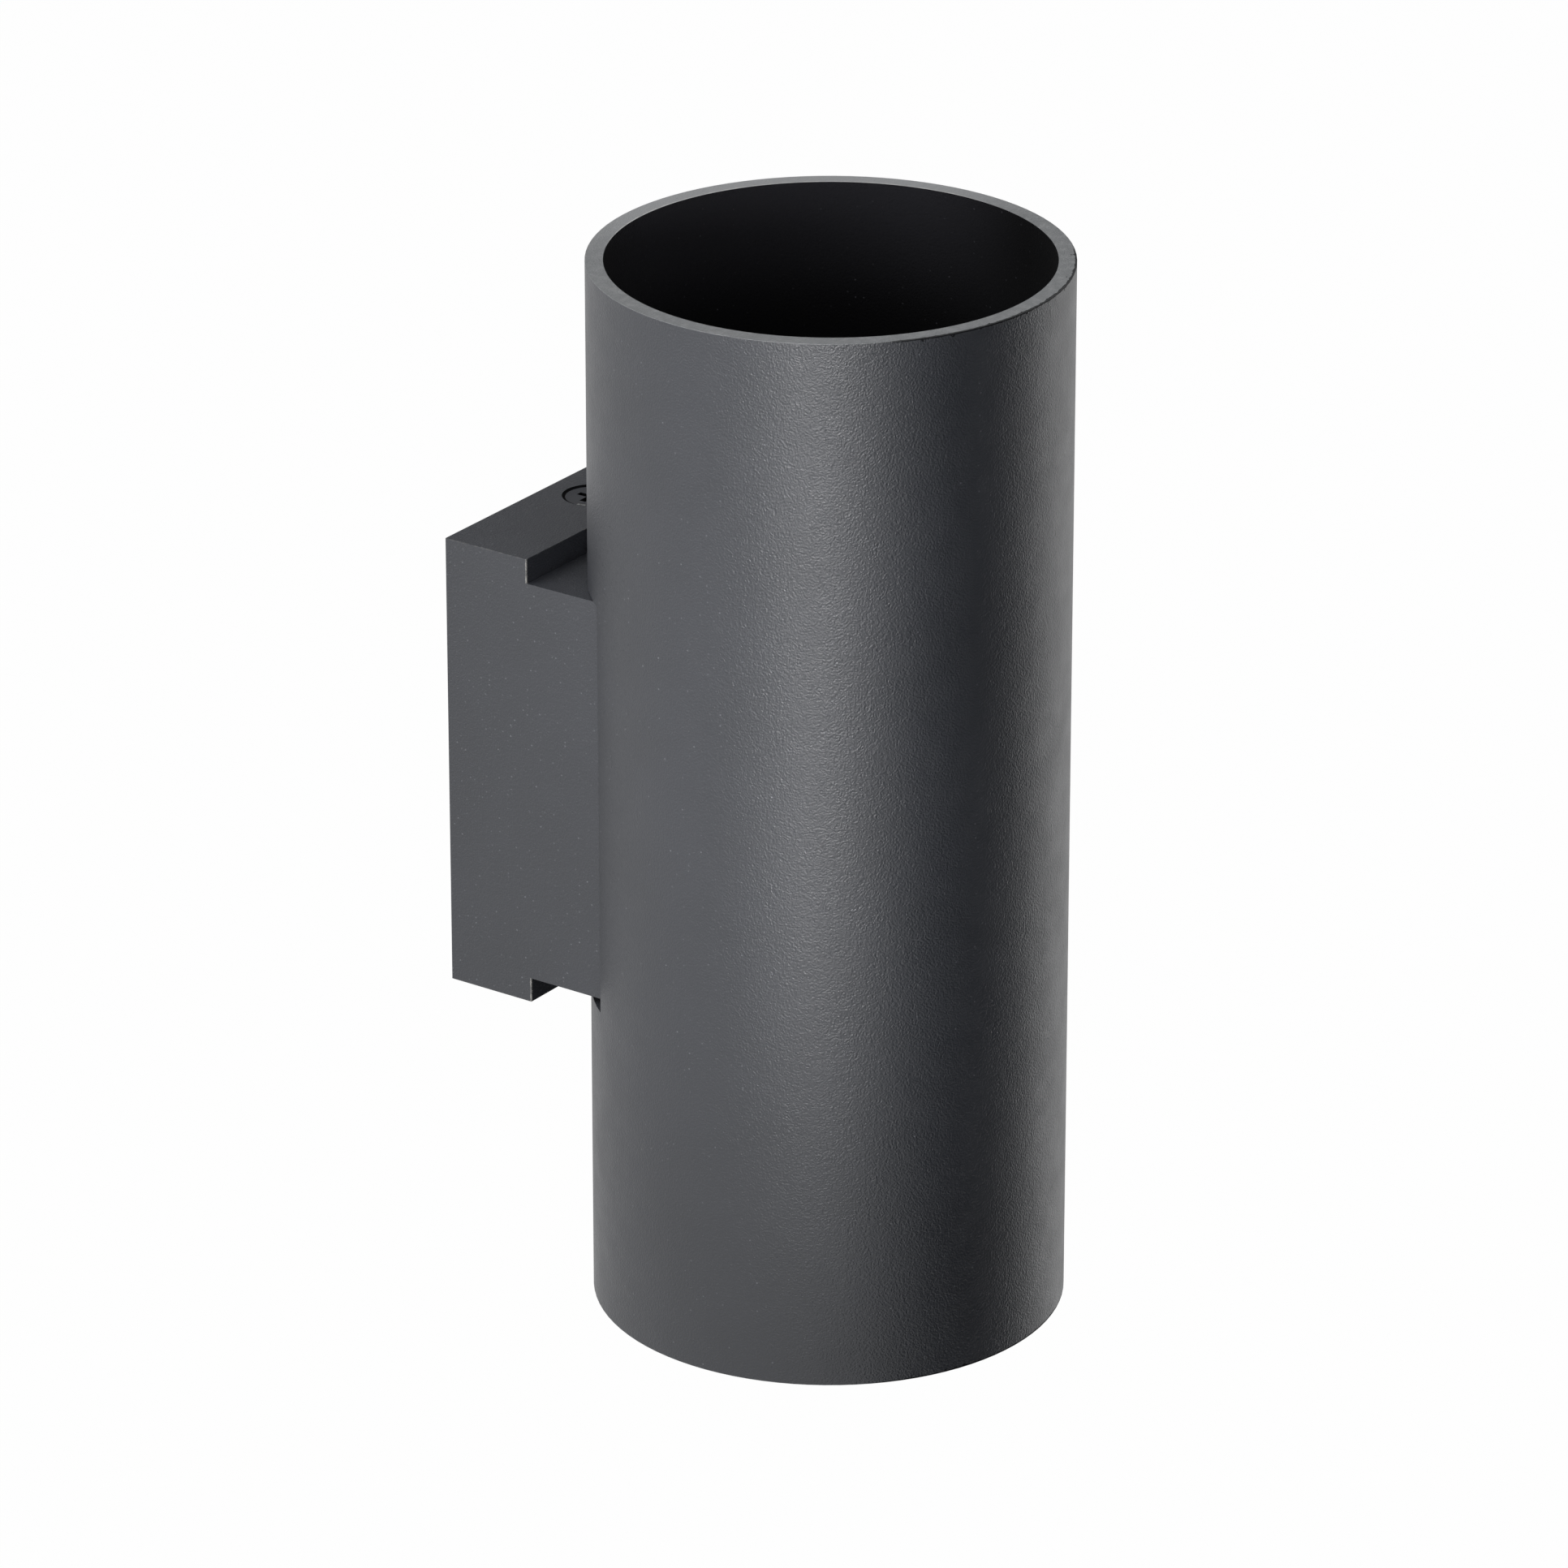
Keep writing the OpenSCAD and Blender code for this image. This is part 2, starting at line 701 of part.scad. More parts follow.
module lamp_pins() {
    color("#c9ccd0") for (s = [-1, 1]) translate([s * pin_pitch / 2, axis_y, lamp_z]) {
        translate([0, 0, -pin_neck_length]) cylinder(r = pin_neck_r, h = pin_neck_length);
        translate([0, 0, -pin_neck_length - pin_head + pin_edge])
            cylinder(r = pin_head_r, h = pin_head - pin_edge);
        translate([0, 0, -pin_neck_length - pin_head])
            cylinder(r1 = pin_head_r - pin_edge, r2 = pin_head_r, h = pin_edge);
    }
}

// Terminal block

function pole_x(k) = (k - (poles - 1) / 2) * pole_pitch;

module terminal_housing() {
    color("#ecebe6") difference() {
        union() {
            translate([-terminal_width / 2, -plate_thick - slab_thick, -terminal_length / 2])
                cube([terminal_width, slab_thick, terminal_length]);
            for (k = [0:poles - 1]) {
                translate([pole_x(k), barrel_y, -terminal_length / 2])
                    cylinder(r = barrel_r, h = terminal_length);
                for (s = [-1, 1])
                    y_rod(pole_x(k), barrel_y, s * tower_z, tower_r, barrel_y - terminal_front);
            }
            y_rod(pole_pitch / 2, -plate_thick, 0, fixing_tube_r, terminal_height - fixing_tube_drop);
        }
        for (k = [0:poles - 1]) {
            translate([pole_x(k), barrel_y, -terminal_length / 2 - over])
                cylinder(r = entry_r, h = terminal_length + 2 * over);
            translate([pole_x(k), barrel_y, -clamp_length / 2 - clamp_gap])
                cylinder(r = clamp_r + clamp_gap, h = clamp_length + 2 * clamp_gap);
            for (s = [-1, 1])
                y_rod(pole_x(k), barrel_y, s * tower_z, clamp_screw_r + hole_gap, terminal_height);
        }
        y_rod(pole_pitch / 2, 0, 0, fixing_screw_r + clamp_gap, plate_thick + terminal_height);
    }
}

module terminal_clamps() {
    color("#c7a252") for (k = [0:poles - 1]) difference() {
        translate([pole_x(k), barrel_y, -clamp_length / 2]) cylinder(r = clamp_r, h = clamp_length);
        translate([pole_x(k), barrel_y, -clamp_length / 2 - over])
            cylinder(r = clamp_bore_r, h = clamp_length + 2 * over);
        for (s = [-1, 1])
            y_rod(pole_x(k), barrel_y, s * tower_z, clamp_screw_r + thread_gap, terminal_height);
    }
}

module clamp_screws() {
    tip = barrel_y - core_r - thread_gap;
    head = terminal_front + clamp_screw_sink;
    color("#d9dcdf") for (k = [0:poles - 1], s = [-1, 1]) difference() {
        y_rod(pole_x(k), tip, s * tower_z, clamp_screw_r, tip - head);
        translate([pole_x(k) - clamp_screw_r - over, head - over, s * tower_z - slot_width / 2])
            cube([2 * (clamp_screw_r + over), slot_depth + over, slot_width]);
    }
}

module terminal_screw() {
    seat = -plate_thick - terminal_height + fixing_tube_drop;
    color("#c9ccd0") translate([pole_pitch / 2, seat, 0]) rotate([90, 0, 0])
        pan_screw(fixing_screw_r, -seat - thread_gap, fixing_head_r, fixing_head);
}

// Leads from the lampholders and the earth stud

terminal_top = terminal_length / 2;
bush_in = axis_y + strip_front - bush_flange_thick;
bush_out = axis_y + pocket_r;

// Lead from a lampholder: up (1) or down (-1), at side s of the holder, to pole k
module holder_lead(up, s, k) {
    start_y = axis_y + crimp_end;
    near_x = s * pin_pitch / 2;
    gate_x = s * lead_offset;
    gate_z = lead_hole_rise + up * lead_offset;
    end_x = pole_x(k) - up * core_offset;
    arch = up > 0 ? lead_arch : lead_arch / 2;
    inside = up > 0
        ? [[near_x, start_y + upper_start_share * lead_room, crimp_z],
           [(near_x + gate_x) / 2, start_y + upper_rise_share * lead_room,
            crimp_z + upper_height_share * (gate_z - crimp_z)]]
        : [[near_x, start_y + lower_start_share * lead_room, -crimp_z],
           [2 * gate_x, axis_y + lead_gate_y, -sheet_thick / 2],
           [gate_x, start_y + lower_rise_share * lead_room, gate_z / 2]];
    lead(concat([[near_x, start_y, up * crimp_z]], inside,
        [[gate_x, bush_in, gate_z], [gate_x, bush_out, gate_z],
         [(gate_x + end_x) / 2, (bush_out + barrel_y) / 2, gate_z + arch / 3],
         [end_x, barrel_y, terminal_top + arch / 2],
         [end_x, barrel_y, terminal_top]]),
        [0, 1, 0], [0, 0, -1], [0, 0, 1]);
}

module upper_live_lead() {
    color("#7a4a2c") holder_lead(1, -1, 0);
}

module upper_neutral_lead() {
    color("#2f5f9e") holder_lead(1, 1, 1);
}

module lower_live_lead() {
    color("#7a4a2c") holder_lead(-1, -1, 0);
}

module lower_neutral_lead() {
    color("#2f5f9e") holder_lead(-1, 1, 1);
}

module earth_lead() {
    barrel_top = ring_r + ring_barrel_gap + ring_barrel_length;
    ring_y = -plate_thick - ring_barrel_r;
    top = barrel_top + lead_arch / 2;
    color("#6f9a3a") lead([[pole_x(2), barrel_y, terminal_top], [pole_x(2), barrel_y, top],
        [(pole_x(2) + earth_x) / 2, (barrel_y + ring_y) / 2, top + lead_arch / 2],
        [earth_x, ring_y, top], [earth_x, ring_y, barrel_top]], [0, 0, 1], [0, 0, -1], [0, 1, 0]);
}

// The nodes

tube_housing();
mounting_block();
block_screws();
wall_plate();
cable_grommet();
clamp_strip();
holder_shelf();
strip_screws();
lead_bush();
lampholder();  // upper_lampholder
holder_cover();  // upper_cover
contacts();  // upper_contacts
lower_side() lampholder();  // lower_lampholder
lower_side() holder_cover();  // lower_cover
lower_side() contacts();  // lower_contacts
holder_screws();
holder_nuts();
lamp_shell();  // upper_lamp_shell
lamp_lens();  // upper_lamp_lens
lamp_base();  // upper_lamp_base
lamp_pins();  // upper_lamp_pins
lower_side() lamp_shell();  // lower_lamp_shell
lower_side() lamp_lens();  // lower_lamp_lens
lower_side() lamp_base();  // lower_lamp_base
lower_side() lamp_pins();  // lower_lamp_pins
terminal_housing();
terminal_clamps();
clamp_screws();
terminal_screw();
earth_stud();
earth_ring();
earth_nut();
upper_live_lead();
upper_neutral_lead();
lower_live_lead();
lower_neutral_lead();
earth_lead();
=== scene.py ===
import json
import math

import bpy
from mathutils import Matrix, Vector


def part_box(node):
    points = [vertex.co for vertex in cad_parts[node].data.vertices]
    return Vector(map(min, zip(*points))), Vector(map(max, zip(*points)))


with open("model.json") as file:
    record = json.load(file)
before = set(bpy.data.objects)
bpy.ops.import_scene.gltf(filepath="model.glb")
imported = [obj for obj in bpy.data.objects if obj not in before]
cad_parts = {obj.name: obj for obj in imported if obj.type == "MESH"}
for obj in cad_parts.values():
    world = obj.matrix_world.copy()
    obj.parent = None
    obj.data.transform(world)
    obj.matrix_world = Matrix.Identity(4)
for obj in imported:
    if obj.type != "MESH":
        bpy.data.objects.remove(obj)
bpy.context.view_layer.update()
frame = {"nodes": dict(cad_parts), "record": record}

parts = frame["nodes"]
mm = 0.001
tubeLow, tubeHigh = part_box("tube_housing")
axisY = (tubeLow.y + tubeHigh.y) / 2  # the tube's axis, out from the wall
tubeRadius = tubeHigh.x
boreRadius = tubeRadius - 2.5 * mm
halfTube = tubeHigh.z
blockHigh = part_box("mounting_block")[1]
blockFront = -13.5 * mm  # where the block steps down to the tongue that enters the tube
stepHeight = 3.5 * mm
screwLow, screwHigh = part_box("block_screws")
screwY = (screwLow.y + screwHigh.y) / 2  # both block screws stand on this line
skinDepth = 0.05 * mm  # what lies this near to a face counts as on it


# Materials

def twoSided(operation, swapped=False):
    # the method behind an operator, which adds its Math node
    def method(self, other):
        sides = (other, self) if swapped else (self, other)
        return self.math(operation, *sides)
    return method


class Wire:
    # an output socket; arithmetic on it adds Math nodes
    def __init__(self, finish, socket):
        self.finish, self.socket = finish, socket

    def math(self, operation, *values):
        inputs = dict(enumerate(values))
        return self.finish.add("ShaderNodeMath", {"operation": operation}, inputs)

    def __abs__(self):
        return self.math("ABSOLUTE", self)

    __add__, __radd__ = twoSided("ADD"), twoSided("ADD", swapped=True)
    __sub__, __rsub__ = twoSided("SUBTRACT"), twoSided("SUBTRACT", swapped=True)
    __mul__, __rmul__ = twoSided("MULTIPLY"), twoSided("MULTIPLY", swapped=True)
    __truediv__, __rtruediv__ = twoSided("DIVIDE"), twoSided("DIVIDE", swapped=True)
    __pow__, __rpow__ = twoSided("POWER"), twoSided("POWER", swapped=True)
    __lt__, __gt__ = twoSided("LESS_THAN"), twoSided("GREATER_THAN")
    least, most = twoSided("MINIMUM"), twoSided("MAXIMUM")


def opaque(colour):
    return colour if isinstance(colour, Wire) else (*colour, 1)


class Finish:
    # the nodes of a material, or of the world
    def __init__(self, owner):
        owner.use_nodes = True
        self.owner, self.tree = owner, owner.node_tree
        self.tree.nodes.clear()

    def add(self, nodeType, settings=None, inputs=None, output=0):
        node = self.tree.nodes.new(nodeType)
        for key, value in (settings or {}).items():
            setattr(node, key, value)
        for key, value in (inputs or {}).items():
            if isinstance(value, Wire):
                self.tree.links.new(value.socket, node.inputs[key])
            else:
                node.inputs[key].default_value = value
        return Wire(self, node.outputs[output]) if node.outputs else None

    def place(self):
        return self.add("ShaderNodeTexCoord", output="Object")

    def part(self, point, axis):
        return self.add("ShaderNodeSeparateXYZ", inputs={0: point}, output=axis)

    def split(self, point):
        return [self.part(point, axis) for axis in range(3)]

    def squeeze(self, point, factors):
        # a pattern on it grows longer along an axis with a small factor
        return self.add("ShaderNodeVectorMath", {"operation": "MULTIPLY"}, {0: point, 1: factors})

    def noise(self, point, size, detail=2.0, rough=0.5):
        return self.add("ShaderNodeTexNoise", inputs={
            "Vector": point, "Scale": 1 / size, "Detail": detail, "Roughness": rough})

    def cells(self, point, size, output="Distance"):
        inputs = {"Vector": point, "Scale": 1 / size}
        return self.add("ShaderNodeTexVoronoi", inputs=inputs, output=output)

    def step(self, value, low, high, start=0.0, end=1.0):
        # goes smoothly from start to end while the value goes from low to high
        return self.add("ShaderNodeMapRange", {"interpolation_type": "SMOOTHSTEP"}, {
            0: value, 1: low, 2: high, 3: start, 4: end})

    def blend(self, amount, first, second):
        # two colours, which a Mix node takes in its sockets 6 and 7
        inputs = {0: amount, 6: opaque(first), 7: opaque(second)}
        return self.add("ShaderNodeMix", {"data_type": "RGBA"}, inputs, output=2)

    def mix(self, amount, first, second):
        # two shaders
        return self.add("ShaderNodeMixShader", inputs={0: amount, 1: first, 2: second})

    def bump(self, height, depth, strength=1.0):
        return self.add("ShaderNodeBump", inputs={
            "Height": height, "Distance": depth, "Strength": strength})

    def surface(self, colour, roughness, skin=None, metallic=0.0, gloss=0.5, more=None):
        inputs = {"Base Color": opaque(colour), "Roughness": roughness, "Metallic": metallic,
                  "Specular IOR Level": gloss}
        if skin:
            inputs["Normal"] = skin
        inputs.update(more or {})
        return self.add("ShaderNodeBsdfPrincipled", inputs=inputs)

    def done(self, shader, output="ShaderNodeOutputMaterial"):
        self.add(output, inputs={"Surface": shader})
        return self.owner


def newFinish(name):
    return Finish(bpy.data.materials.new(name))


def aboutAxis(x, y, axis):
    # y measured from an upright axis at x = 0, and the distance from that axis
    out = y - axis
    return out, (x * x + out * out) ** 0.5


def facing(x, out, radius, azimuth):
    # 1 on the side of a round piece that faces this azimuth, 0 at its quarters, -1 opposite
    turn = math.radians(azimuth)
    return (x * math.sin(turn) - out * math.cos(turn)) / radius


# fine-textured powder coat on the tube and the block
paint = {
    "colour": (0.0155, 0.0172, 0.022),
    "paleColour": (0.0185, 0.0203, 0.0258),
    "cloudSize": 14 * mm,
    "grainSize": 0.28 * mm,
    "grainDepth": 0.083 * mm,
    "wormShare": 0.9,
    "swellShare": 0.3,
    "speckColour": (0.1, 0.105, 0.116),
    "speckRadius": 0.16 * mm,
    "tubeSpeckSpacing": 1.0 * mm,
    "blockSpeckSpacing": 0.7 * mm,
    "roughness": 0.47,
    "roughnessSpread": 0.03,
    "smearSize": 4 * mm,
    "gloss": 0.75,
}


def grain(f, point):
    # round pebbles between worm-like furrows, on a slower swell
    size = paint["grainSize"]
    pebble = f.noise(point, size, 1.0)
    worm = abs(f.noise(f.squeeze(point, (1, 1, -1)), size * 1.6, 1.0) - 0.5)
    swell = f.noise(point, size * 3, 1.0)
    return pebble - worm * paint["wormShare"] + swell * paint["swellShare"]


def specks(f, point, spacing):
    # tiny pale particles in two cells of three, most of them faint
    near = f.cells(point, spacing)
    tone = f.cells(point, spacing, "Color")
    chance, light = f.part(tone, 0), f.part(tone, 1)
    radius = paint["speckRadius"] / spacing
    return f.step(near, radius, radius * 0.4) * (chance > 0.34) * light ** 3


def cloudyPaint(f, point):
    cloud = f.step(f.noise(point, paint["cloudSize"], 3.0), 0.3, 0.7)
    return f.blend(cloud, paint["colour"], paint["paleColour"])


def paintSkin(f, point, tint, speckSpacing):
    # the coat's shader, with its bump and its particles for other layers to use
    speck = specks(f, point, speckSpacing)
    colour = f.blend(speck, tint, paint["speckColour"])
    smooth = paint["roughness"] - paint["roughnessSpread"]
    dull = paint["roughness"] + paint["roughnessSpread"]
    roughness = f.step(f.noise(point, paint["smearSize"]), 0.2, 0.8, smooth, dull)
    skin = f.bump(grain(f, point), paint["grainDepth"])
    return f.surface(colour, roughness, skin, gloss=paint["gloss"]), skin, speck


# the tube's inside, nearly black, with painted light near the rims at the back
bore = {
    "colour": (0.0012, 0.0012, 0.0015),
    "paintedLightColour": (0.012, 0.012, 0.0145),  # painted light just inside the rims, at the back, fading deeper down
    "paintedLightDepth": 20 * mm,
    "speckColour": (0.03, 0.03, 0.034),
    "roughness": 0.85,
    "recessRoughness": 0.9,  # also for the painted shade in the screws, the countersinks and the lip
    "gloss": 0.06,
    "wallReach": 0.08 * mm,  # what lies this near to the bore is its wall
}


# black for painted shade in recesses, gaps and along the lip
def shadeBlack(f):
    return f.surface(bore["colour"], bore["recessRoughness"], gloss=bore["gloss"])


# the tube's sawn ends, paler than the coat, partly a thin coat on the sawn face and partly painted
# light on their upward faces
rims = {
    "colour": (0.14, 0.145, 0.15),
    "mottleColour": (0.22, 0.225, 0.23),
    "mottleSize": 0.5 * mm,
    "backLitColour": (0.25, 0.255, 0.262),
    "litBackAzimuth": 140,
    "innerHighlightColour": (0.4, 0.4, 0.4),  # painted highlight along the inner edge at the back, ragged
    "innerHighlightWidth": 0.3 * mm,
    "lipWidth": 0.3 * mm,  # painted shade of the rounded outer edge at the front, ragged
    "lipAzimuth": 0,
    "lipShade": 0.8,
    "chipWidth": 0.6 * mm,
    "raggedSize": 1.1 * mm,
}


def tubeCoat():
    f = newFinish("tubePaint")
    point = f.place()
    x, y, z = f.split(point)
    out, radius = aboutAxis(x, y, axisY)
    depth = halfTube - abs(z)
    ragged = f.noise(point, rims["raggedSize"], 3.0, 0.6)
    # the rims are mottled
    mottle = f.noise(f.squeeze(point, (0.35, 0.35, 1)), rims["mottleSize"], 3.0, 0.7)
    rim = f.blend(f.step(mottle, 0.4, 0.75) * 0.7, rims["colour"], rims["mottleColour"])
    # at the back they are paler, painted light, with a painted highlight along the inner edge
    litBack = f.step(facing(x, out, radius, rims["litBackAzimuth"]), 0.2, 0.85)
    rim = f.blend(litBack * 0.8, rim, rims["backLitColour"])
    innerHighlight = radius < boreRadius + litBack * ragged * 2 * rims["innerHighlightWidth"]
    rim = f.blend(innerHighlight, rim, rims["innerHighlightColour"])
    tint = f.blend(abs(z) > halfTube - skinDepth, cloudyPaint(f, point), rim)
    outside, skin, speck = paintSkin(f, point, tint, paint["tubeSpeckSpacing"])
    # the bore is matt and nearly black, with painted light near the rims at the back
    paintedLight = f.step(depth, bore["paintedLightDepth"], 0.0) * litBack
    inner = f.blend(speck, f.blend(paintedLight, bore["colour"], bore["paintedLightColour"]), bore["speckColour"])
    inside = f.surface(inner, bore["roughness"], skin, gloss=bore["gloss"])
    coat = f.mix(radius < boreRadius + bore["wallReach"], outside, inside)
    # painted shade along the front of the outer edge, standing in for its rounding, wider where
    # the paint is chipped
    atFront = f.step(facing(x, out, radius, rims["lipAzimuth"]), 0.66, 0.8)
    chip = f.step(ragged, 0.6, 0.72) * rims["chipWidth"]
    reach = atFront * (ragged * 2 * rims["lipWidth"] + chip)
    shadedLip = (radius > tubeRadius - reach) * (depth < reach * 0.5 + skinDepth) * atFront
    return f.done(f.mix(shadedLip * rims["lipShade"], coat, shadeBlack(f)))


block = {
    "wornAndLitColour": (0.2, 0.195, 0.185),
    "wearAndHighlightWidth": 0.2 * mm,
    "wearAndHighlightFullWidth": 0.04 * mm,
    "wearAndHighlightStrength": 0.2,
    "rubSize": 0.7 * mm,
    "sinkRadius": 4.02 * mm,
    "sinkDepth": 8 * mm,
    "riserPaintedShade": 0.5,
}


def blockCoat():
    f = newFinish("blockPaint")
    point = f.place()
    x, y, z = f.split(point)
    # how far each outer face lies, so two small ones together make an edge
    side = abs(blockHigh.x - abs(x))
    front = abs(y - blockFront)
    end = abs(blockHigh.z - abs(z))
    edge = (side + end).least(front + end)
    # pale edges, partly worn paint and partly a painted highlight of their rounding
    rub = f.step(f.noise(point, block["rubSize"], 3.0, 0.65), 0.44, 0.62)
    wearAndHighlight = f.step(edge, block["wearAndHighlightWidth"], block["wearAndHighlightFullWidth"]) * rub * block["wearAndHighlightStrength"]
    tint = f.blend(wearAndHighlight, cloudyPaint(f, point), block["wornAndLitColour"])
    # worn most on the corner beside each notch, where the pale line is a painted highlight too
    notchWearAndHighlight = (side + front < block["wearAndHighlightWidth"]) * (end < stepHeight)
    tint = f.blend(notchWearAndHighlight * (0.4 + rub * 0.6), tint, block["wornAndLitColour"])
    outside = paintSkin(f, point, tint, paint["blockSpeckSpacing"])[0]
    # painted shade: the countersinks are matt and black, and the riser of each notch is half so
    shadedSink = (aboutAxis(x, y, screwY)[1] < block["sinkRadius"]) * (end < block["sinkDepth"])
    shadedRiser = (front < skinDepth) * (end < stepHeight) * (side > block["wearAndHighlightWidth"])
    return f.done(f.mix(shadedSink.most(shadedRiser * block["riserPaintedShade"]), outside, shadeBlack(f)))


blockScrew = {
    "colour": (0.017, 0.0187, 0.0235),
    "roughness": 0.47,
    "gloss": 0.7,
    "grainDepth": 0.02 * mm,
    "grainStrength": 0.8,
    "recessDepth": 0.04 * mm,
    "ringRadius": 3.56 * mm,
    "bareGlintColour": (0.5, 0.5, 0.49),
    "bareGlintAzimuth": -78,
    "bareGlintRadius": 3.15 * mm,
    "rubSize": 0.3 * mm,
}


def paintedScrew():
    # head painted with the block, painted shade in the dark ring round it and in the black recess,
    # and one rubbed bare spot that is also a painted glint
    f = newFinish("paintedScrew")
    point = f.place()
    x, y, z = f.split(point)
    across, radius = aboutAxis(x, y, screwY)
    notZero = radius + 0.001 * mm
    toward = facing(x, across, notZero, blockScrew["bareGlintAzimuth"])
    rubbed = f.step(f.noise(point, blockScrew["rubSize"], 3.0, 0.7), 0.4, 0.55)
    bareGlint = f.step(toward, 0.975, 0.99) * (radius > blockScrew["bareGlintRadius"]) * rubbed
    colour = f.blend(bareGlint, blockScrew["colour"], blockScrew["bareGlintColour"])
    roughness = blockScrew["roughness"] - bareGlint * 0.1
    skin = f.bump(grain(f, point), blockScrew["grainDepth"], blockScrew["grainStrength"])
    head = f.surface(colour, roughness, skin, bareGlint, blockScrew["gloss"])
    # painted shade: the ring round the head and the recess are black
    ring = (radius > blockScrew["ringRadius"]) * (bareGlint < 0.5)
    shadedRecess = abs(z) < screwHigh.z - blockScrew["recessDepth"]
    return f.done(f.mix(ring.most(shadedRecess), head, shadeBlack(f)))


sheet = {
    "colour": (0.56, 0.57, 0.59),
    "darkColour": (0.4, 0.41, 0.44),
    "flakeSize": 2.6 * mm,
    "streakSize": 0.22 * mm,
    "streakDepth": 0.008 * mm,
    "smearSize": 7 * mm,
    "roughness": 0.34,
    "metallic": 0.9,
}


def zincSheet():
    # flakes of the zinc, with the upright streaks of the rolled strip
    f = newFinish("zincSheet")
    point = f.place()
    flake = f.part(f.cells(point, sheet["flakeSize"], "Color"), 0)
    streak = f.noise(f.squeeze(point, (1, 1, 0.05)), sheet["streakSize"], 3.0, 0.7)
    colour = f.blend(flake * 0.55 + streak * 0.3, sheet["colour"], sheet["darkColour"])
    smear = f.step(f.noise(point, sheet["smearSize"], 3.0), 0.5, 0.8)
    roughness = sheet["roughness"] + flake * 0.1 + smear * 0.08
    skin = f.bump(streak, sheet["streakDepth"], 0.5)
    return f.done(f.surface(colour, roughness, skin, sheet["metallic"]))


plating = {
    "colour": (0.62, 0.63, 0.64),
    "dullColour": (0.42, 0.43, 0.46),
    "cloudSize": 1.6 * mm,
    "pitSize": 0.3 * mm,
    "pitDepth": 0.006 * mm,
    "roughness": 0.26,
    "metallic": 0.95,
}


def zincPlate():
    f = newFinish("zincPlate")
    point = f.place()
    cloud = f.noise(point, plating["cloudSize"], 4.0, 0.65)
    colour = f.blend(f.step(cloud, 0.35, 0.75), plating["colour"], plating["dullColour"])
    skin = f.bump(f.noise(point, plating["pitSize"], 3.0), plating["pitDepth"], 0.6)
    roughness = plating["roughness"] + cloud * 0.16
    return f.done(f.surface(colour, roughness, skin, plating["metallic"]))


softRubber = {
    "colour": (0.015, 0.015, 0.016),
    "bloomColour": (0.032, 0.032, 0.033),
    "bloomSize": 1.3 * mm,
    "pitSize": 0.35 * mm,
    "pitDepth": 0.02 * mm,
    "roughness": 0.68,
}


def rubber():
    f = newFinish("rubber")
    point = f.place()
    bloom = f.step(f.noise(point, softRubber["bloomSize"], 4.0, 0.6), 0.45, 0.75)
    colour = f.blend(bloom, softRubber["colour"], softRubber["bloomColour"])
    skin = f.bump(f.noise(point, softRubber["pitSize"], 3.0), softRubber["pitDepth"], 0.6)
    return f.done(f.surface(colour, softRubber["roughness"] + bloom * 0.12, skin))


steatite = {
    "colour": (0.84, 0.81, 0.73),
    "stainColour": (0.76, 0.72, 0.62),
    "stainSize": 5 * mm,
    "fleckColour": (0.6, 0.53, 0.42),
    "fleckSpacing": 1.1 * mm,
    "pitSize": 0.4 * mm,
    "pitDepth": 0.03 * mm,
    "roughness": 0.62,
}


def ceramic():
    # unglazed, with a brown fleck in one cell of five
    f = newFinish("ceramic")
    point = f.place()
    stain = f.step(f.noise(point, steatite["stainSize"], 4.0, 0.6), 0.4, 0.75)
    chance = f.part(f.cells(point, steatite["fleckSpacing"], "Color"), 1)
    fleck = f.step(f.cells(point, steatite["fleckSpacing"]), 0.14, 0.05) * (chance > 0.8)
    body = f.blend(stain, steatite["colour"], steatite["stainColour"])
    colour = f.blend(fleck * 0.7, body, steatite["fleckColour"])
    pits = f.noise(point, steatite["pitSize"], 4.0, 0.65)
    skin = f.bump(pits - fleck * 0.5, steatite["pitDepth"], 0.6)
    return f.done(f.surface(colour, steatite["roughness"] + stain * 0.1, skin))


fibre = {
    "colour": (0.5, 0.38, 0.21),
    "paleColour": (0.66, 0.55, 0.34),
    "threadSize": 0.3 * mm,
    "threadDepth": 0.02 * mm,
    "roughness": 0.6,
}


def fibreSheet():
    # pressed insulating sheet with crossed fibres
    f = newFinish("fibreSheet")
    point = f.place()
    along = f.noise(f.squeeze(point, (0.12, 1, 1)), fibre["threadSize"], 3.0, 0.7)
    across = f.noise(f.squeeze(point, (1, 0.12, 1)), fibre["threadSize"], 3.0, 0.7)
    weave = (along + across) * 0.5
    colour = f.blend(f.step(weave, 0.4, 0.62), fibre["colour"], fibre["paleColour"])
    skin = f.bump(weave, fibre["threadDepth"], 0.6)
    return f.done(f.surface(colour, fibre["roughness"], skin))


contactBrass = {
    "colour": (0.78, 0.56, 0.25),
    "tarnishColour": (0.47, 0.31, 0.13),
    "tarnishSize": 2.2 * mm,
    "drawnSize": 0.2 * mm,
    "drawnDepth": 0.006 * mm,
    "roughness": 0.27,
}


def brass():
    f = newFinish("brass")
    point = f.place()
    tarnish = f.step(f.noise(point, contactBrass["tarnishSize"], 4.0, 0.65), 0.45, 0.8)
    colour = f.blend(tarnish, contactBrass["colour"], contactBrass["tarnishColour"])
    drawn = f.noise(f.squeeze(point, (1, 1, 0.15)), contactBrass["drawnSize"], 3.0)
    skin = f.bump(drawn, contactBrass["drawnDepth"], 0.5)
    return f.done(f.surface(colour, contactBrass["roughness"] + tarnish * 0.2, skin, 1.0))


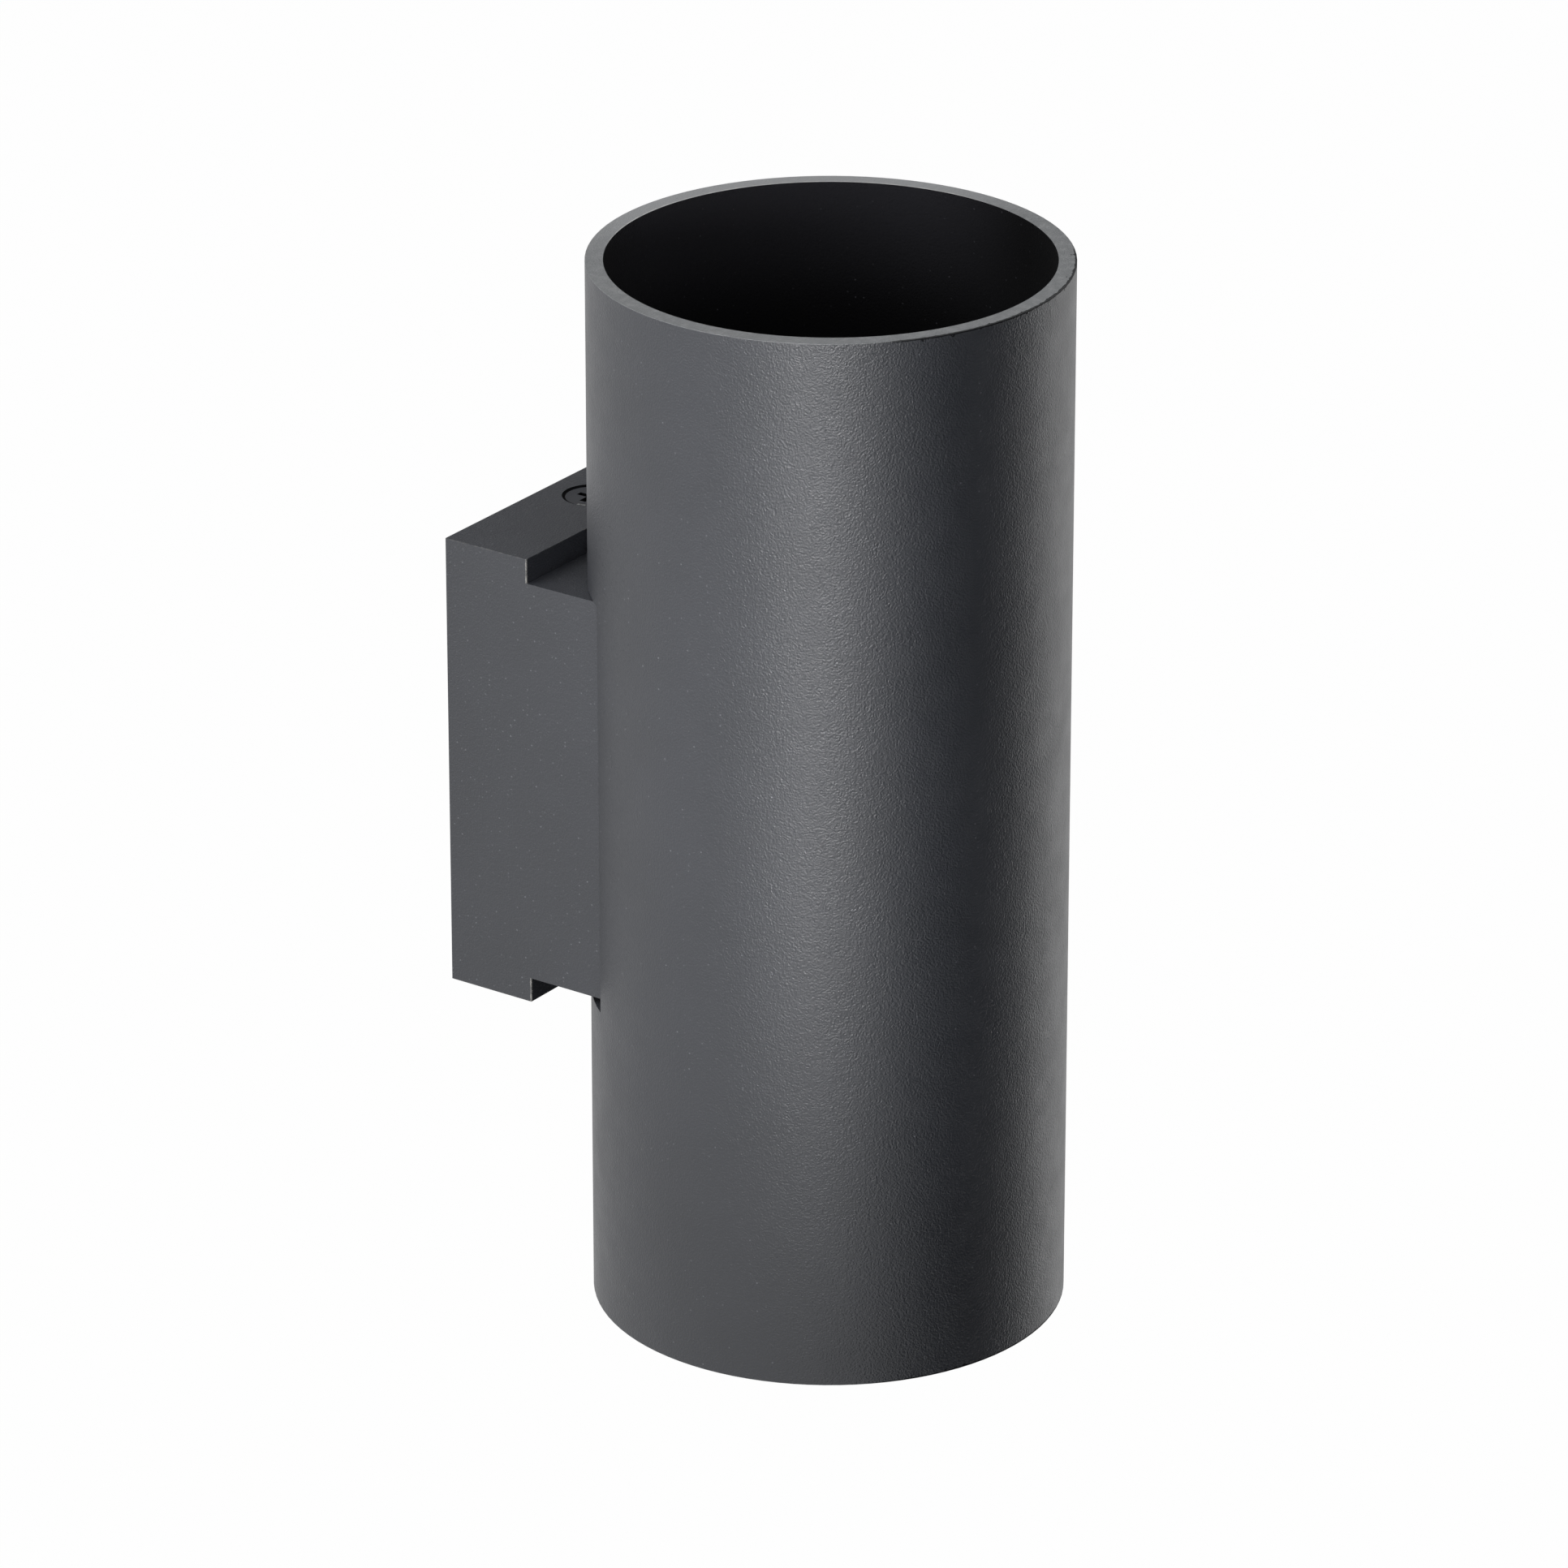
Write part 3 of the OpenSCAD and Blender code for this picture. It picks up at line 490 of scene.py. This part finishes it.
lamp = {
    "shellColour": (0.62, 0.63, 0.64),
    "shellDarkColour": (0.57, 0.58, 0.6),
    "shellCloudSize": 6 * mm,
    "shellRoughness": 0.42,
    "dieSize": 0.3 * mm,
    "dieDepth": 0.015 * mm,
    "lensColour": (0.86, 0.85, 0.81),
    "lensDarkColour": (0.62, 0.61, 0.57),
    "lensRoughness": 0.24,
    "dimplePitch": 2.1 * mm,
    "dimpleDepth": 0.25 * mm,
    "fieldRadius": 18.5 * mm,
    "ringRadius": 18.8 * mm,
    "ringReach": 0.5 * mm,
    "ringFullReach": 0.15 * mm,
    "baseColour": (0.86, 0.84, 0.79),
    "baseDarkColour": (0.8, 0.78, 0.72),
    "baseCloudSize": 3 * mm,
    "baseRoughness": 0.3,
    "basePitSize": 0.4 * mm,
    "basePitDepth": 0.01 * mm,
}


def lampShell():
    # satin moulding with a fine die texture
    f = newFinish("lampShell")
    point = f.place()
    cloud = f.noise(point, lamp["shellCloudSize"], 3.0)
    colour = f.blend(f.step(cloud, 0.3, 0.7), lamp["shellColour"], lamp["shellDarkColour"])
    skin = f.bump(f.noise(point, lamp["dieSize"], 2.0), lamp["dieDepth"], 0.6)
    return f.done(f.surface(colour, lamp["shellRoughness"] + cloud * 0.08, skin))


def lampLens():
    # frosted diffuser with a field of small round lenses inside a ring
    f = newFinish("lampLens")
    point = f.place()
    radius = aboutAxis(f.part(point, 0), f.part(point, 1), axisY)[1]
    dimple = f.cells(point, lamp["dimplePitch"])
    field = radius < lamp["fieldRadius"]
    ring = f.step(abs(radius - lamp["ringRadius"]), lamp["ringReach"], lamp["ringFullReach"])
    shade = field * f.step(dimple, 0.2, 0.6) * 0.35 + ring * 0.3
    colour = f.blend(shade, lamp["lensColour"], lamp["lensDarkColour"])
    skin = f.bump(field * dimple * dimple * 0.6 + ring * 0.4, lamp["dimpleDepth"], 0.7)
    return f.done(f.surface(colour, lamp["lensRoughness"] + field * 0.1, skin))


def lampBase():
    f = newFinish("lampBase")
    point = f.place()
    cloud = f.noise(point, lamp["baseCloudSize"], 3.0)
    colour = f.blend(f.step(cloud, 0.3, 0.7), lamp["baseColour"], lamp["baseDarkColour"])
    skin = f.bump(f.noise(point, lamp["basePitSize"]), lamp["basePitDepth"], 0.5)
    return f.done(f.surface(colour, lamp["baseRoughness"] + cloud * 0.1, skin))


terminal = {
    "colour": (0.84, 0.83, 0.79),
    "darkColour": (0.75, 0.74, 0.68),
    "cloudSize": 2.5 * mm,
    "dieSize": 0.25 * mm,
    "dieDepth": 0.012 * mm,
    "roughness": 0.4,
    "glowShare": 0.15,  # of the light that enters and comes out again nearby
    "glowDepth": 1.5 * mm,
}


def terminalMoulding():
    f = newFinish("terminalMoulding")
    point = f.place()
    cloud = f.noise(point, terminal["cloudSize"], 4.0)
    colour = f.blend(f.step(cloud, 0.3, 0.75), terminal["colour"], terminal["darkColour"])
    skin = f.bump(f.noise(point, terminal["dieSize"], 3.0), terminal["dieDepth"], 0.6)
    glow = {"Subsurface Weight": terminal["glowShare"], "Subsurface Scale": terminal["glowDepth"]}
    return f.done(f.surface(colour, terminal["roughness"] + cloud * 0.1, skin, more=glow))


leads = {
    "brownColour": (0.2, 0.075, 0.035),
    "brownDarkColour": (0.16, 0.06, 0.03),
    "blueColour": (0.03, 0.13, 0.42),
    "blueDarkColour": (0.025, 0.1, 0.34),
    "greenColour": (0.1, 0.33, 0.06),
    "greenDarkColour": (0.08, 0.27, 0.05),
    "stripeColour": (0.72, 0.62, 0.06),
    "stripePitch": 2.4 * mm,
    "hazeSize": 1.4 * mm,
    "pitSize": 0.3 * mm,
    "pitDepth": 0.01 * mm,
    "roughness": 0.36,
}


def sleeve(name, colour, darkColour, stripe=None):
    # insulation with a faint haze, and stripes on the earth lead's
    f = newFinish(name)
    point = f.place()
    haze = f.noise(point, leads["hazeSize"], 3.0)
    shade = f.blend(f.step(haze, 0.3, 0.75), colour, darkColour)
    if stripe:
        along = f.part(point, 0) + f.part(point, 1)
        wave = along.math("SINE", along * (math.tau / leads["stripePitch"]))
        shade = f.blend(f.step(wave, -0.15, 0.15), shade, stripe)
    skin = f.bump(f.noise(point, leads["pitSize"]), leads["pitDepth"], 0.5)
    return f.done(f.surface(shade, leads["roughness"] + haze * 0.12, skin))


print("materials")
tubePaint = tubeCoat()
blockPaint = blockCoat()
finishes = {
    "black_steel": paintedScrew(),
    "zinc_sheet": zincSheet(),
    "zinc_steel": zincPlate(),
    "black_rubber": rubber(),
    "lampholder_ceramic": ceramic(),
    "insulating_cover": fibreSheet(),
    "brass": brass(),
    "lamp_shell": lampShell(),
    "lamp_lens": lampLens(),
    "lamp_base": lampBase(),
    "terminal_moulding": terminalMoulding(),
    "brown_sleeve": sleeve("brownSleeve", leads["brownColour"], leads["brownDarkColour"]),
    "blue_sleeve": sleeve("blueSleeve", leads["blueColour"], leads["blueDarkColour"]),
    "green_sleeve": sleeve("earthSleeve", leads["greenColour"], leads["greenDarkColour"],
                           leads["stripeColour"]),
}
for subpart in frame["record"]["subparts"]:
    node, slotName = subpart["node"], subpart["material_slot"]
    if slotName == "powder_coat":
        finish = tubePaint if node == "tube_housing" else blockPaint
    else:
        finish = finishes[slotName]
    for slot in parts[node].material_slots:
        slot.material = finish
print("finishes on", len(parts), "pieces")


# Studio

room = {
    "floorDrop": 1.25,  # below the light's middle, as on a wall
    "floorSize": 24.0,
    "floorColour": (0.86, 0.86, 0.86),
    "floorWhite": 0.985,
    "worldGlow": 0.336,
}
# boards out of view, which keep the white room out of one side's reflections
cards = {
    "shadeCard": {"azimuth": 16, "distance": 0.9, "rise": 0.0, "width": 1.75, "height": 2.2,
                  "colour": (0.01, 0.01, 0.01)},
    "backCard": {"azimuth": 125, "distance": 1.2, "rise": 0.61, "width": 1.3, "height": 0.98,
                 "colour": (0.2, 0.2, 0.2)},
}
# the strip hangs close, with louvres that keep it off the tube's far side
softboxes = {
    "stripLight": {"azimuth": -60, "elevation": 0, "distance": 0.3, "rise": 0.035,
                   "aside": 0.022, "width": 0.03, "height": 0.15, "spread": 24, "glow": 2.45},
    "edgeLight": {"azimuth": 69, "elevation": -8.5, "distance": 1.0, "rise": 0.0,
                  "aside": 0.0, "width": 0.27, "height": 0.9, "spread": 180, "glow": 1.85},
    "sideLight": {"azimuth": -128, "elevation": 35, "distance": 1.7, "rise": 0.0,
                  "aside": 0.0, "width": 1.2, "height": 1.2, "spread": 180, "glow": 4.75},
    "topLight": {"azimuth": -38, "elevation": 58, "distance": 1.3, "rise": 0.0,
                 "aside": 0.0, "width": 0.7, "height": 0.7, "spread": 180, "glow": 4.5},
}
middle = Vector((0, axisY, 0))


def around(azimuth, elevation, distance):
    # a place this far from the light's middle, where azimuth 0 is straight out from the wall
    a, e = math.radians(azimuth), math.radians(elevation)
    toward = Vector((math.sin(a) * math.cos(e), -math.cos(a) * math.cos(e), math.sin(e)))
    return middle + distance * toward


def show(name, data):
    obj = bpy.data.objects.new(name, data)
    bpy.context.scene.collection.objects.link(obj)
    return obj


def aim(obj, axis, target):
    obj.rotation_mode = "QUATERNION"
    obj.rotation_quaternion = (target - obj.location).to_track_quat(axis, "Y")


def softbox(name, box):
    data = bpy.data.lights.new(name, "AREA")
    data.shape, data.size, data.size_y = "RECTANGLE", box["width"], box["height"]
    data.energy = box["glow"] * math.pi * box["width"] * box["height"]
    data.spread = math.radians(box["spread"])
    light = show(name, data)
    rise = Vector((0, 0, box["rise"]))
    light.location = around(box["azimuth"], box["elevation"], box["distance"]) + rise
    aim(light, "-Z", around(box["azimuth"] - 90, 0, box["aside"]) + rise)
    light.visible_camera = False


def seenWhite(f):
    # 1 to the camera and in reflections, 0 for the light that falls on the part
    camera = f.add("ShaderNodeLightPath", output="Is Camera Ray")
    glossy = f.add("ShaderNodeLightPath", output="Is Glossy Ray")
    through = f.add("ShaderNodeLightPath", output="Is Transmission Ray")
    return camera.most(glossy).most(through)


def makeWorld():
    world = bpy.data.worlds.new("studio")
    bpy.context.scene.world = world
    f = Finish(world)
    strength = room["worldGlow"] + seenWhite(f) * (1 - room["worldGlow"])
    glow = f.add("ShaderNodeBackground", inputs={"Color": (1, 1, 1, 1), "Strength": strength})
    f.done(glow, "ShaderNodeOutputWorld")


def plane(name, width, height, material):
    mesh = bpy.data.meshes.new(name)
    w, h = width / 2, height / 2
    mesh.from_pydata([(-w, -h, 0), (w, -h, 0), (w, h, 0), (-w, h, 0)], [], [(0, 1, 2, 3)])
    mesh.materials.append(material)
    obj = show(name, mesh)
    return obj


def floorPaint():
    f = newFinish("floorPaint")
    matt = f.add("ShaderNodeBsdfDiffuse", inputs={"Color": opaque(room["floorColour"])})
    white = f.add("ShaderNodeEmission", inputs={"Color": (1, 1, 1, 1), "Strength": 1.0})
    return f.done(f.mix(seenWhite(f) * room["floorWhite"], matt, white))


def hangCard(name, card):
    f = newFinish(name + "Paint")
    matt = f.add("ShaderNodeBsdfDiffuse", inputs={"Color": opaque(card["colour"])})
    board = plane(name, card["width"], card["height"], f.done(matt))
    board.location = around(card["azimuth"], 0, card["distance"]) + Vector((0, 0, card["rise"]))
    aim(board, "Z", middle)
    board.visible_camera = False


makeWorld()
floor = plane("floor", room["floorSize"], room["floorSize"], floorPaint())
floor.location = (0, 0, -room["floorDrop"])
for name, card in cards.items():
    hangCard(name, card)
for name, box in softboxes.items():
    softbox(name, box)
print("studio")


# Camera

# fitted to the photograph's edges
view = {
    "azimuth": -55.0,
    "elevation": 23.23,
    "distance": 1246.6 * mm,
    "lens": 211.73,
    "aside": -6.179 * mm,
    "above": -0.53 * mm,
}
cameraData = bpy.data.cameras.new("camera")
cameraData.sensor_fit = "HORIZONTAL"
cameraData.sensor_width = 36
cameraData.lens = view["lens"]
cameraData.clip_start, cameraData.clip_end = 0.05, 60
camera = show("camera", cameraData)
bpy.context.scene.camera = camera
turn = math.radians(view["azimuth"])
sideways = Vector((math.cos(turn), math.sin(turn), 0))
target = middle + sideways * view["aside"] + Vector((0, 0, view["above"]))
back = around(view["azimuth"], view["elevation"], 1) - middle
camera.location = target + back * view["distance"]
camera.rotation_mode = "QUATERNION"
camera.rotation_quaternion = (-back).to_track_quat("-Z", "Y")
bpy.context.scene.view_settings.view_transform = "Standard"
print("camera")
